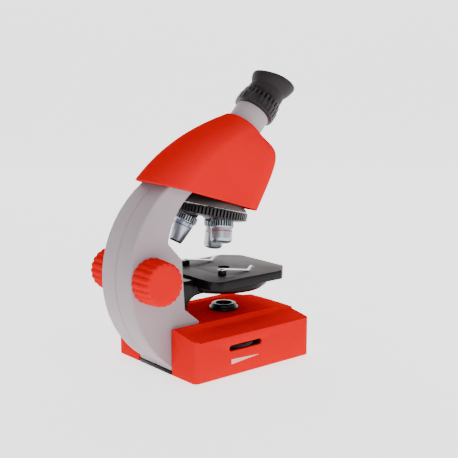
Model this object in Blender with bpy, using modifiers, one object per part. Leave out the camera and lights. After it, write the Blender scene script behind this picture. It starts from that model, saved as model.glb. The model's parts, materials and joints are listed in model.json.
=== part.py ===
"""Kids microscope: base with lamp, curved arm, focusing stage, turret head and eyepiece."""
from math import acos, asin, atan2, ceil, cos, degrees, hypot, pi, radians, sin, sqrt, tan

import bmesh
import bpy
from mathutils import Matrix, Vector

for old in list(bpy.data.objects):
    bpy.data.objects.remove(old, do_unlink=True)

mm = 0.001

# Clearances and walls
gap = 0.3 * mm               # between pieces that touch or run on each other
wall = 2.4 * mm              # moulded covers
hood_wall = 2.0 * mm

# Base. The origin is on the table, under the middle of the whole object.
base_width = 118 * mm
base_back = 60 * mm          # y of the rear face
base_front = -81 * mm        # y at the middle of the bowed front
front_bow = 8.0 * mm
base_corner = 5 * mm
ground = 1.2 * mm            # the cover's lower edge
deck = 42.4 * mm             # top of the middle deck
deck_half = 30.2 * mm
ledge_inner = 38.2 * mm      # the side ledges fall away outwards
ledge_outer = 36.6 * mm
rear_web = 4.6 * mm          # wall left standing behind the ledges
nose_start = -57.6 * mm      # the deck slopes down from here to the front
nose_drop = 2.7 * mm
notch_half = 25.5 * mm       # opening between the rear legs
notch_front = 27 * mm
plate_bottom = 1.0 * mm
plate_thick = 2.4 * mm
tongue_top = 4.0 * mm
foot_radius = 6 * mm
foot_spots = [(42, 40), (-42, 40), (42, -57), (-42, -57)]
screw_spots = [(51, 50), (-51, 50), (51, -65), (-51, -65)]
screw_radius = 1.3 * mm
screw_head = 2.8 * mm

# Optical axis, lamp and dimmer
optic_y = -19.4 * mm
lamp_radius = 13.5 * mm
lamp_top_radius = 11.6 * mm
lamp_height = 5.6 * mm
lens_radius = 7.3 * mm
dimmer_radius = 20 * mm
dimmer_thick = 4 * mm
dimmer_y = 3.75 * mm
slot_length = 37.5 * mm
slot_height = 5.5 * mm
slot_z = 25.6 * mm
shaft_radius = 3 * mm

# Batteries
cell_radius = 7.2 * mm
cell_length = 50.5 * mm
cell_pitch = 16 * mm
cell_z = 11.6 * mm
door_half = (31 * mm, 20 * mm)               # half length and half width of the battery door
door_middle = -19 * mm

# Arm
arm_bottom_half = 24.4 * mm
arm_taper = 0.0242           # half width lost for each unit of height
arm_arc_y = 2.6 * mm         # centre of the round back
arm_arc_z = 86 * mm
arm_arc_radius = 97 * mm
throat_y = -2.9 * mm         # centre of the hollow above the stage
throat_z = 106.6 * mm
throat_radius = 62.7 * mm
arm_front = 43.6 * mm
arm_shoulder_z = 101.2 * mm
arm_knee_z = 56.3 * mm
arm_screw_x = 12 * mm        # the screws up through the base plate into the arm's foot
arm_screw_y = 39 * mm
arm_screws = [(83, 52), (51, 150)]           # (y, z) of the screws that close the arm

# Focus drive
knob_y = 79 * mm
knob_z = 88.3 * mm
knob_radius = 20 * mm
knob_length = 21.6 * mm
knob_flutes = 20
pinion_teeth = 13
tooth_module = 1.0 * mm
pitch_radius = pinion_teeth * tooth_module / 2
tooth_addendum = 0.8 * mm
tooth_dedendum = 1.1 * mm
pinion_length = 12 * mm
stage_up = 14 * mm
stage_down = 5 * mm

# Stage
stage_top = 81.9 * mm
stage_half = 44.5 * mm
stage_back = 26.7 * mm
stage_front = -66.6 * mm
stage_rim = 8.0 * mm
stage_skin = 2.5 * mm
stage_corner = 9.5 * mm
stage_chamfer = 14.2 * mm
aperture_radius = 5.5 * mm
dish_y = -16 * mm
dish_radius = 43 * mm
dish_height = 7.1 * mm
bracket_half = 16 * mm
bracket_low = 50 * mm
gusset_y = 23 * mm           # where the bracket starts to curve down
dish_inside = 5 * mm
carriage_back = 67.8 * mm
filter_radius = 26 * mm
filter_thick = 2 * mm
filter_offset = 18 * mm      # pivot to the middle of the filter holes
clip_x = 27 * mm
clip_y = 4.6 * mm
post_radius = 3.75 * mm
post_height = 6.3 * mm
spring_thick = 0.7 * mm

# Head
rim_back = (71.5 * mm, 171 * mm)
rim_front = (-49.9 * mm, 132.7 * mm)
rim_half = 29 * mm
mouth_radius = 20.2 * mm
mouth_depth = 18.7 * mm       # down the tube from the grip
arm_reach = 8 * mm           # how far the arm stands into the head

# Turret
turret_y = -4.0 * mm
turret_z = 140.4 * mm
turret_tilt = radians(14)
turret_radius = 34.6 * mm
turret_thick = 8.9 * mm
objective_circle = 19.4 * mm
objective_drop = 10.5 * mm
collar_radius = 10.5 * mm
turret_rest = 90             # degrees from the front click to the first objective

# Eyepiece
eye_y = -54.6 * mm
eye_z = 223.9 * mm
eye_tilt = radians(43)
tube_radius = 16.5 * mm
tube_wall = 1.6 * mm
tube_length = 36 * mm
grip_radius = 20 * mm
grip_length = 17.6 * mm
cup_length = 23.5 * mm
cup_lean = 0.25
cup_drop = 1.7 * mm


def new_collection(name):
    group = bpy.data.collections.new(name)
    bpy.context.scene.collection.children.link(group)
    return group


parts = new_collection("kids_microscope")
cutters = new_collection("cutters")
frames = new_collection("frames")

RED = (0.86, 0.055, 0.04)
GREY = (0.42, 0.38, 0.40)
BLACK = (0.012, 0.011, 0.012)
DARK = (0.035, 0.032, 0.033)
STEEL = (0.70, 0.72, 0.74)
NYLON = (0.85, 0.83, 0.76)
GLASS = (0.75, 0.80, 0.90)


def material(name, colour, roughness, metallic):
    mat = bpy.data.materials.new(name)
    mat.use_nodes = True
    shader = mat.node_tree.nodes["Principled BSDF"]
    shader.inputs["Base Color"].default_value = (*colour, 1)
    shader.inputs["Roughness"].default_value = roughness
    shader.inputs["Metallic"].default_value = metallic
    mat.diffuse_color = (*colour, 1)
    return mat


def part(name, mesh, colour=BLACK, roughness=0.45, metallic=0.0, at=(0, 0, 0), turn=(0, 0, 0), parent=None):
    """A named piece in the parts collection, smooth where its faces meet at a shallow angle."""
    piece = bpy.data.objects.new(name, mesh)
    parts.objects.link(piece)
    piece.parent = parent
    piece.location = at
    piece.rotation_euler = turn
    mesh.materials.clear()
    mesh.materials.append(material(name, colour, roughness, metallic))
    mesh.shade_smooth()
    mesh.set_sharp_from_angle(angle=radians(35))
    return piece


def frame_empty(name, at, tilt):
    empty = bpy.data.objects.new(name, None)
    frames.objects.link(empty)
    empty.location = at
    empty.rotation_euler = (tilt, 0, 0)
    return empty


def tool(mesh, at=(0, 0, 0), turn=(0, 0, 0), parent=None):
    """A cutter or a shape to join, kept out of the parts."""
    shape = bpy.data.objects.new("cutter", mesh)
    cutters.objects.link(shape)
    shape.parent = parent
    shape.location = at
    shape.rotation_euler = turn
    shape.hide_render = True
    shape.display_type = 'WIRE'
    return shape


def combine(piece, shape, operation):
    step = piece.modifiers.new(operation.title(), 'BOOLEAN')
    step.object = shape
    step.operation = operation
    step.solver = 'EXACT'


def cut(piece, mesh, **place):
    combine(piece, tool(mesh, **place), 'DIFFERENCE')


def join(piece, mesh, **place):
    combine(piece, tool(mesh, **place), 'UNION')


def bevel(piece, width, segments=2, angle=50):
    step = piece.modifiers.new("Bevel", 'BEVEL')
    step.width = width
    step.segments = segments
    step.limit_method = 'ANGLE'
    step.angle_limit = radians(angle)


def finished(bm, name="mesh"):
    bmesh.ops.recalc_face_normals(bm, faces=bm.faces)
    mesh = bpy.data.meshes.new(name)
    bm.to_mesh(mesh)
    bm.free()
    return mesh


def box(low, high):
    bm = bmesh.new()
    bmesh.ops.create_cube(bm, size=1.0)
    size = [b - a for a, b in zip(low, high)]
    middle = [(a + b) / 2 for a, b in zip(low, high)]
    bmesh.ops.scale(bm, vec=size, verts=bm.verts)
    bmesh.ops.translate(bm, vec=middle, verts=bm.verts)
    return finished(bm)


def rod(radius, low, high, x=0.0, y=0.0, sides=24, along='Z', top_radius=None):
    """A cylinder or cone from low to high along an axis; x and y are its place across that axis."""
    bm = bmesh.new()
    end = radius if top_radius is None else top_radius
    bmesh.ops.create_cone(bm, cap_ends=True, segments=sides, radius1=radius, radius2=end, depth=high - low)
    bmesh.ops.translate(bm, vec=(x, y, (low + high) / 2), verts=bm.verts)
    if along == 'X':         # across the axis are then y and z
        swap = Matrix(((0, 0, 1, 0), (1, 0, 0, 0), (0, 1, 0, 0), (0, 0, 0, 1)))
        bmesh.ops.transform(bm, matrix=swap, verts=bm.verts)
    return finished(bm)


def evaluated(shape):
    """The shape's evaluated mesh, welded; the shape itself is removed."""
    shot = shape.evaluated_get(bpy.context.evaluated_depsgraph_get())
    mesh = bpy.data.meshes.new_from_object(shot)
    data = shape.data
    bpy.data.objects.remove(shape, do_unlink=True)
    if isinstance(data, bpy.types.Curve):
        bpy.data.curves.remove(data)
    bm = bmesh.new()
    bm.from_mesh(mesh)
    bmesh.ops.remove_doubles(bm, verts=bm.verts, dist=1e-6)
    return finished(bm)


def turned(profile, sides=40):
    """A solid of revolution about Z from (radius, z) points, closed at the axis or as a ring."""
    mesh = bpy.data.meshes.new("profile")
    edges = [(i, i + 1) for i in range(len(profile) - 1)]
    if min(r for r, z in profile) > 0:
        edges.append((len(profile) - 1, 0))
    mesh.from_pydata([(r, 0, z) for r, z in profile], edges, [])
    shape = bpy.data.objects.new("profile", mesh)
    cutters.objects.link(shape)
    screw = shape.modifiers.new("Screw", 'SCREW')
    screw.steps = sides
    screw.render_steps = sides
    screw.use_merge_vertices = True
    screw.merge_threshold = 0.00001
    return evaluated(shape)


def extruded(outline, low, high, along='Z'):
    """A flat outline carried from low to high: (x, y) along Z, (y, z) along X, (x, z) along Y."""
    curve = bpy.data.curves.new("outline", 'CURVE')
    curve.dimensions = '2D'
    curve.fill_mode = 'BOTH'
    curve.extrude = (high - low) / 2
    spline = curve.splines.new('POLY')
    spline.points.add(len(outline) - 1)
    for point, place in zip(spline.points, outline):
        point.co = (place[0], place[1], 0, 1)
    spline.use_cyclic_u = True
    shape = bpy.data.objects.new("outline", curve)
    cutters.objects.link(shape)
    mesh = evaluated(shape)
    mesh.transform(Matrix.Translation((0, 0, (high + low) / 2)))
    if along == 'X':
        mesh.transform(Matrix(((0, 0, 1, 0), (1, 0, 0, 0), (0, 1, 0, 0), (0, 0, 0, 1))))
    if along == 'Y':
        mesh.transform(Matrix(((1, 0, 0, 0), (0, 0, 1, 0), (0, 1, 0, 0), (0, 0, 0, 1))))
        mesh.flip_normals()
    return mesh


def arc(centre, radius, start, end, steps):
    """Points on a circle from one angle to another, both in degrees."""
    turns = [radians(start + (end - start) * i / steps) for i in range(steps + 1)]
    return [(centre[0] + radius * cos(t), centre[1] + radius * sin(t)) for t in turns]


def rounded(corners, steps=4):
    """An outline whose (x, y, radius) corners are filleted."""
    outline = []
    count = len(corners)
    for i, (x, y, radius) in enumerate(corners):
        if radius <= 0:
            outline.append((x, y))
            continue
        here = Vector((x, y))
        before = (Vector(corners[i - 1][:2]) - here).normalized()
        after = (Vector(corners[(i + 1) % count][:2]) - here).normalized()
        half = before.angle(after) / 2
        centre = here + (before + after).normalized() * radius / sin(half)
        first = here + before * radius / tan(half) - centre
        last = here + after * radius / tan(half) - centre
        sweep = first.angle_signed(last)
        for k in range(steps + 1):
            swing = Matrix.Rotation(-sweep * k / steps, 2)
            outline.append(tuple(centre + swing @ first))
    return outline


def inset(outline, distance):
    """The outline moved inwards; it runs anticlockwise."""
    moved = []
    count = len(outline)
    for i in range(count):
        here = Vector(outline[i])
        one = (here - Vector(outline[i - 1])).normalized()
        two = (Vector(outline[(i + 1) % count]) - here).normalized()
        bisector = Vector((-one.y, one.x)) + Vector((-two.y, two.x))
        reach = distance / max(bisector.length / 2, 0.3)
        moved.append(tuple(here + bisector.normalized() * reach))
    return moved


# ---------------------------------------------------------------- base

def base_outline(inward, notch_margin):
    """Plan of the base, moved in by one wall; the notch for the arm opens to the rear."""
    half = base_width / 2 - inward
    back = base_back - inward
    front = base_front + inward
    bow_radius = (half ** 2 + front_bow ** 2) / (2 * front_bow)
    swing = degrees(asin(half / bow_radius))
    corner = max(base_corner - inward, 1 * mm)
    bow = arc((0, front + bow_radius), bow_radius, 270 + swing, 270 - swing, 12)
    notch = notch_half + notch_margin
    end = notch_front - notch_margin
    corners = [(-notch, back, 0), (-half, back, corner), (-half, bow[-1][1], corner)]
    corners += [(x, y, 0) for x, y in bow[-2:0:-1]]
    corners += [(half, bow[0][1], corner), (half, back, corner), (notch, back, 0)]
    corners += [(notch, end, 0), (-notch, end, 0)]
    return rounded(corners)


def slot_outline():
    r = slot_height / 2
    left = dimmer_y - slot_length / 2 + r
    right = dimmer_y + slot_length / 2 - r
    return arc((right, slot_z), r, -90, 90, 8) + arc((left, slot_z), r, 90, 270, 8)


def base_cover():
    half = base_width / 2
    cover = part("base_cover", extruded(base_outline(0, 0), ground, 50 * mm), RED, 0.38)
    top = [(-half - mm, 0), (half + mm, 0), (half + mm, ledge_outer + 1 * mm),
           (deck_half + 10 * mm, deck - 1 * mm), (deck_half, deck + 0.9 * mm)]
    top += [(deck_half - 3 * mm, deck), (3 * mm - deck_half, deck), (-deck_half, deck + 0.9 * mm),
            (-deck_half - 10 * mm, deck - 1 * mm), (-half - mm, ledge_outer + 1 * mm)]
    combine(cover, tool(extruded(top, -90 * mm, 90 * mm, 'Y')), 'INTERSECT')
    for side in (-1, 1):
        ledge = [(side * deck_half, ledge_inner), (side * (half + 4 * mm), ledge_outer - 0.2 * mm),
                 (side * (half + 4 * mm), 60 * mm), (side * deck_half, 60 * mm)]
        cut(cover, extruded(ledge, -95 * mm, base_back - rear_web, 'Y'))
    nose = [(nose_start, deck), (nose_start, 60 * mm), (-95 * mm, 60 * mm),
            (-95 * mm, deck - nose_drop * (nose_start + 95 * mm) / (nose_start - base_front))]
    cut(cover, extruded(nose, -deck_half - 20 * mm, deck_half + 20 * mm, 'X'))
    ceiling = ledge_outer - wall
    cut(cover, extruded(base_outline(wall, wall), -5 * mm, ceiling))
    cut(cover, box((-deck_half + wall, nose_start, ceiling - mm),
                   (deck_half - wall, notch_front - wall, deck - wall)))
    cut(cover, box((-notch_half + mm, notch_front - 2 * wall, -5 * mm),
                   (notch_half - mm, notch_front + 2 * mm, tongue_top + gap)))
    for x, y in screw_spots:
        join(cover, rod(4 * mm, tongue_top + 2 * mm, ceiling + mm, x * mm, y * mm, 16))
    for x, y in screw_spots:
        cut(cover, rod(screw_radius + gap, 0, 22 * mm, x * mm, y * mm, 16))
    cut(cover, rod(9.2 * mm, 30 * mm, 60 * mm, 0, optic_y, 32))
    cut(cover, extruded(slot_outline(), -half - 4 * mm, -half + 8 * mm, 'X'))


def base_plate():
    outline = base_outline(wall + gap, wall + gap)
    top = plate_bottom + plate_thick
    plate = part("base_plate", extruded(outline, plate_bottom, top), BLACK, 0.5)
    join(plate, box((-notch_half + gap + mm, notch_front - 6 * mm, plate_bottom),
                    (notch_half - gap - mm, base_back - gap, tongue_top)))
    cut(plate, box((-door_half[0], door_middle - door_half[1], -mm),
                   (door_half[0], door_middle + door_half[1], 9 * mm)))
    for x, y in screw_spots:
        cut(plate, rod(screw_radius + gap, 0, 9 * mm, x * mm, y * mm, 16))
        cut(plate, rod(screw_head + gap, 0, plate_bottom + 1.2 * mm, x * mm, y * mm, 20))
    for x, y in foot_spots:
        cut(plate, rod(2.3 * mm, 0, 9 * mm, x * mm, y * mm, 16))
    for side in (-1, 1):
        cut(plate, rod(screw_radius + gap, 0, 9 * mm, side * arm_screw_x, arm_screw_y, 16))
        cut(plate, rod(screw_head + gap, 0, plate_bottom + 1.2 * mm, side * arm_screw_x, arm_screw_y, 20))


def battery_pack():
    long, wide = door_half[0] - gap, door_half[1] - gap
    part("battery_door", box((-long, door_middle - wide, plate_bottom),
                             (long, door_middle + wide, plate_bottom + 2 * mm)), DARK, 0.5)
    tray_low = plate_bottom + plate_thick + gap
    half = cell_length / 2
    block = box((-half - 3.4 * mm, door_middle - cell_pitch - 2 * mm, tray_low),
                (half + 3.4 * mm, door_middle + cell_pitch + 2 * mm, cell_z + 9.2 * mm))
    tray = part("battery_tray", block, DARK, 0.5)
    cut(tray, box((-half - 1.8 * mm, door_middle - cell_pitch, 0),
                  (half + 1.8 * mm, door_middle + cell_pitch, cell_z + cell_radius + 0.6 * mm)))
    for index, side in enumerate((-1, 1)):
        y = door_middle + side * cell_pitch / 2
        body = [(0, half - 1.4 * mm), (2.7 * mm, half - 1.4 * mm), (2.7 * mm, half - 2.4 * mm),
                (cell_radius, half - 2.6 * mm), (cell_radius, -half + 1.4 * mm), (0, -half + 1.4 * mm)]
        part(f"battery_{index + 1}", turned(body, 16), (0.1, 0.25, 0.12), 0.35,
             at=(0, y, cell_z), turn=(0, side * pi / 2, 0))
        contact_x = side * (half + 0.8 * mm)
        strip = box((contact_x - 0.3 * mm, door_middle - 14 * mm, 5 * mm),
                    (contact_x + 0.3 * mm, door_middle + 14 * mm, 17 * mm))
        part(f"battery_contact_{index + 1}", strip, STEEL, 0.3, 1.0)


def screws_and_feet():
    for index, (x, y) in enumerate(screw_spots):
        screw(f"base_screw_{index + 1}", (x * mm, y * mm, plate_bottom + 0.1 * mm), 18 * mm)
    for index, (x, y) in enumerate(foot_spots):
        stem = 2 * mm
        foot = [(0, 3.0 * mm), (stem, 3.0 * mm), (stem, 0.7 * mm), (foot_radius, 0.7 * mm),
                (foot_radius - 0.4 * mm, 0), (0, 0)]
        part(f"foot_{index + 1}", turned(foot, 20), BLACK, 0.8, at=(x * mm, y * mm, 0))


def screw(name, at, length, turn=(0, 0, 0), parent=None):
    """A pan-head screw whose head starts at its origin and whose shank runs up local Z."""
    head = 0.9 * mm
    profile = [(0, length), (screw_radius, length), (screw_radius, head), (screw_head, head),
               (screw_head, 0.2 * mm), (screw_head - 0.3 * mm, 0), (0, 0)]
    return part(name, turned(profile, 12), STEEL, 0.3, 1.0, at=at, turn=turn, parent=parent)


def lamp():
    low = deck + gap
    high = deck + lamp_height
    ring = [(lens_radius + gap, high), (lamp_top_radius, high), (lamp_radius, low + 1.8 * mm),
            (lamp_radius, low), (8.8 * mm, low), (8.8 * mm, deck - 3.4 * mm),
            (lens_radius - 1 * mm, deck - 3.4 * mm),
            (lens_radius - 1 * mm, high - 3.6 * mm), (lens_radius + gap, high - 3.6 * mm)]
    part("lamp_ring", turned(ring, 32), BLACK, 0.25, at=(0, optic_y, 0))
    top = high - 1.4 * mm
    glass = [(0, top + 0.5 * mm), (4 * mm, top + 0.3 * mm), (lens_radius, top - 0.2 * mm),
             (lens_radius, high - 3.3 * mm), (0, high - 3.3 * mm)]
    part("lamp_lens", turned(glass, 32), (0.8, 0.85, 0.9), 0.08, at=(0, optic_y, 0))
    board_top = ledge_outer - wall - gap
    part("circuit_board", box((-48 * mm, optic_y - 11 * mm, board_top - 1.6 * mm),
                              (14 * mm, dimmer_y + 12 * mm, board_top)), (0.02, 0.18, 0.06), 0.4)
    tip = high - 4.0 * mm
    led = [(0, tip)]
    for angle in (30, 60, 90):
        led.append((2.5 * mm * sin(radians(angle)), tip - 2.5 * mm * (1 - cos(radians(angle)))))
    led += [(2.5 * mm, board_top + 1.3 * mm), (2.9 * mm, board_top + 1.3 * mm), (2.9 * mm, board_top + gap),
            (0, board_top + gap)]
    part("lamp_led", turned(led, 20), (0.95, 0.95, 0.8), 0.15, at=(0, optic_y, 0))
    wheel_x = -base_width / 2 + 0.2 * mm + dimmer_radius
    low, high = slot_z - dimmer_thick / 2, slot_z + dimmer_thick / 2
    wheel = [(shaft_radius + gap, high), (dimmer_radius - 0.6 * mm, high), (dimmer_radius, high - 0.6 * mm),
             (dimmer_radius, low + 0.6 * mm), (dimmer_radius - 0.6 * mm, low), (shaft_radius + gap, low)]
    part("dimmer_wheel", turned(wheel, 36), BLACK, 0.4, at=(wheel_x, dimmer_y, 0))
    pot_top = board_top - 1.6 * mm - gap
    pot = part("dimmer_pot", box((wheel_x - 7 * mm, dimmer_y - 7 * mm, high + gap),
                                 (wheel_x + 7 * mm, dimmer_y + 7 * mm, pot_top)), (0.05, 0.07, 0.2), 0.5)
    join(pot, rod(shaft_radius, low - 1 * mm, high + 2 * mm, wheel_x, dimmer_y, 20))


# ---------------------------------------------------------------- arm

def rim_height(y, above=0.0):
    """Height of the plane of the head's lower rim at a depth."""
    slope = (rim_back[1] - rim_front[1]) / (rim_back[0] - rim_front[0])
    return rim_back[1] + (y - rim_back[0]) * slope + above


def arm_outline():
    """Side profile (y, z), anticlockwise: foot, round back, top under the head, throat, front."""
    bottom = tongue_top + gap
    back = base_back - gap
    low_turn = -degrees(acos((back - arm_arc_y) / arm_arc_radius))
    high_turn = 0.0
    while True:              # the back ends where it meets the top line
        y = arm_arc_y + arm_arc_radius * cos(radians(high_turn))
        if arm_arc_z + arm_arc_radius * sin(radians(high_turn)) > rim_height(y, arm_reach):
            break
        high_turn += 0.25
    throat_top = 90.0
    while True:
        y = throat_y + throat_radius * cos(radians(throat_top))
        if throat_z + throat_radius * sin(radians(throat_top)) < rim_height(y, arm_reach):
            break
        throat_top -= 0.25
    outline = [(notch_front + gap + 0.1 * mm, bottom), (back, bottom)]
    outline += arc((arm_arc_y, arm_arc_z), arm_arc_radius, low_turn, high_turn, 18)
    throat_low = degrees(asin((117.2 * mm - throat_z) / throat_radius))
    outline += arc((throat_y, throat_z), throat_radius, throat_top, throat_low, 8)
    outline += [(arm_front + 1 * mm, arm_shoulder_z), (arm_front - 1 * mm, arm_knee_z),
                (notch_front + gap + 0.1 * mm, deck + 1 * mm)]
    return outline


def arm_half_width(z):
    return arm_bottom_half - arm_taper * (z - tongue_top)


def tapered(mesh):
    for vertex in mesh.vertices:
        vertex.co.x *= arm_half_width(vertex.co.z) / arm_bottom_half
    return mesh


def arm_shell(name, side):
    outline = arm_outline()
    low, high = sorted((side * 0.15 * mm, side * arm_bottom_half))
    solid = extruded(outline, low, high, 'X')
    shell = part(name, tapered(solid), GREY, 0.42)
    bevel(shell, 1.2 * mm, 1)
    low, high = sorted((-side * mm, side * (arm_bottom_half - wall)))
    cut(shell, tapered(extruded(inset(outline, wall), low, high, 'X')))
    bearing_x = arm_half_width(knob_z)
    low, high = sorted((side * (bearing_x - 9 * mm), side * (bearing_x - 1 * mm)))
    join(shell, rod(6 * mm, low, high, knob_y, knob_z, 24, 'X'))
    low, high = sorted((side * (bearing_x - 12 * mm), side * (bearing_x + 4 * mm)))
    cut(shell, rod(shaft_radius + gap, low, high, knob_y, knob_z, 24, 'X'))
    for y, z in arm_screws:
        low, high = sorted((side * 0.15 * mm, side * (arm_half_width(z * mm) - 1 * mm)))
        join(shell, rod(4.5 * mm, low, high, y * mm, z * mm, 16, 'X'))
    for y, z in arm_screws:
        low, high = sorted((-side * 5 * mm, side * (14 * mm if side < 0 else 40 * mm)))
        cut(shell, rod(screw_radius + gap, low, high, y * mm, z * mm, 16, 'X'))
        if side > 0:
            seat = arm_half_width(z * mm) - 3 * mm
            cut(shell, rod(screw_head + gap, seat, 40 * mm, y * mm, z * mm, 20, 'X'))
    bottom = tongue_top + gap
    join(shell, rod(4.5 * mm, bottom, 18 * mm, side * arm_screw_x, arm_screw_y, 16))
    cut(shell, rod(screw_radius + gap, 0, 16 * mm, side * arm_screw_x, arm_screw_y, 16))
    low, high = sorted((-side * mm, side * (bracket_half + gap + 0.1 * mm)))
    cut(shell, box((low, notch_front - 7 * mm, bracket_low - stage_down - gap),
                   (high, arm_front + 6 * mm, stage_top - 1.9 * mm + stage_up + 1 * mm)))


def arm():
    arm_shell("arm_left", -1)
    arm_shell("arm_right", 1)
    for index, (y, z) in enumerate(arm_screws):
        start = arm_half_width(z * mm) - 1.5 * mm
        screw(f"arm_screw_{index + 1}", (start, y * mm, z * mm), 33 * mm, turn=(0, -pi / 2, 0))
    for index, side in enumerate((-1, 1)):
        spot = (side * arm_screw_x, arm_screw_y, plate_bottom + 0.1 * mm)
        screw(f"arm_foot_screw_{index + 1}", spot, 13 * mm)


# ---------------------------------------------------------------- focus drive



def knob(name, side):
    points = []
    for i in range(knob_flutes * 3):
        turn = 2 * pi * i / (knob_flutes * 3)
        depth = (0.0, 0.0, 1.1)[i % 3] * mm
        points.append(((knob_radius - depth) * cos(turn), (knob_radius - depth) * sin(turn)))
    start = arm_half_width(knob_z) + 0.6 * mm
    mesh = extruded(points, 0, knob_length, 'X')
    for vertex in mesh.vertices:
        if vertex.co.x > knob_length / 2:
            vertex.co.y *= 0.93
            vertex.co.z *= 0.93
    if side < 0:
        mesh.transform(Matrix.Rotation(pi, 4, 'Z'))
    piece = part(name, mesh, RED, 0.4, at=(side * start, knob_y, knob_z))
    bevel(piece, 1.6 * mm, 1, 60)
    low, high = sorted((side * (start - mm), side * (start + knob_length - 2.6 * mm)))
    hollow = rod(knob_radius - 3.4 * mm, low, high, knob_y, knob_z, 32, 'X')
    ring = tool(hollow)
    low, high = sorted((side * (start - 2 * mm), side * (start + knob_length)))
    combine(ring, tool(rod(7 * mm, low, high, knob_y, knob_z, 20, 'X')), 'DIFFERENCE')
    combine(piece, ring, 'DIFFERENCE')
    low, high = sorted((side * (start - mm), side * (start + knob_length - 3.6 * mm)))
    cut(piece, rod(shaft_radius + gap, low, high, knob_y, knob_z, 20, 'X'))


def focus_drive():
    end = arm_half_width(knob_z) + knob_length - 4 * mm
    teeth = []
    step = 2 * pi / pinion_teeth
    root, tip = pitch_radius - tooth_dedendum, pitch_radius + tooth_addendum
    for i in range(pinion_teeth):
        middle = pi + step / 2 + i * step
        for radius, half in ((root, 0.95 * mm), (tip, 0.25 * mm)):
            teeth.append((radius, middle - half / radius))
        for radius, half in ((tip, 0.25 * mm), (root, 0.95 * mm)):
            teeth.append((radius, middle + half / radius))
    outline = [(r * cos(a), r * sin(a)) for r, a in teeth]
    pinion = extruded(outline, -pinion_length / 2, pinion_length / 2, 'X')
    shaft = part("pinion_shaft", pinion, NYLON, 0.5, at=(0, knob_y, knob_z))
    join(shaft, rod(shaft_radius, -end, end, knob_y, knob_z, 20, 'X'))
    for name, side in (("left", -1), ("right", 1)):
        knob(f"knob_{name}", side)
    pitch = pi * tooth_module
    face = knob_y - pitch_radius
    low_z, high_z = knob_z - stage_up - 1.5 * pitch, knob_z + stage_down + 1.5 * pitch
    teeth_down = ceil((knob_z - low_z) / pitch)
    teeth_up = ceil((high_z - knob_z) / pitch)
    back = carriage_back + gap
    rack_low = knob_z - (teeth_down + 0.5) * pitch - 6 * mm
    rack_high = knob_z + (teeth_up + 0.5) * pitch
    outline = [(back, rack_low), (face - tooth_dedendum, rack_low)]
    for i in range(-teeth_down, teeth_up + 1):
        z = knob_z + i * pitch
        for y, half in ((face - tooth_dedendum, 0.85 * mm), (face + tooth_addendum, 0.25 * mm)):
            outline.append((y, z - half))
        for y, half in ((face + tooth_addendum, 0.25 * mm), (face - tooth_dedendum, 0.85 * mm)):
            outline.append((y, z + half))
    outline += [(face - tooth_dedendum, rack_high), (back, rack_high)]
    part("rack", extruded(outline, -pinion_length / 2 + mm, pinion_length / 2 - mm, 'X'), NYLON, 0.5)


# ---------------------------------------------------------------- stage

def stage_outline():
    h, c = stage_half, stage_chamfer
    front_corner = 5 * mm
    return rounded([(-h, stage_back, stage_corner), (-h, stage_front + c, front_corner),
                    (c - h, stage_front, front_corner), (h - c, stage_front, front_corner),
                    (h, stage_front + c, front_corner), (h, stage_back, stage_corner)])


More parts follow.
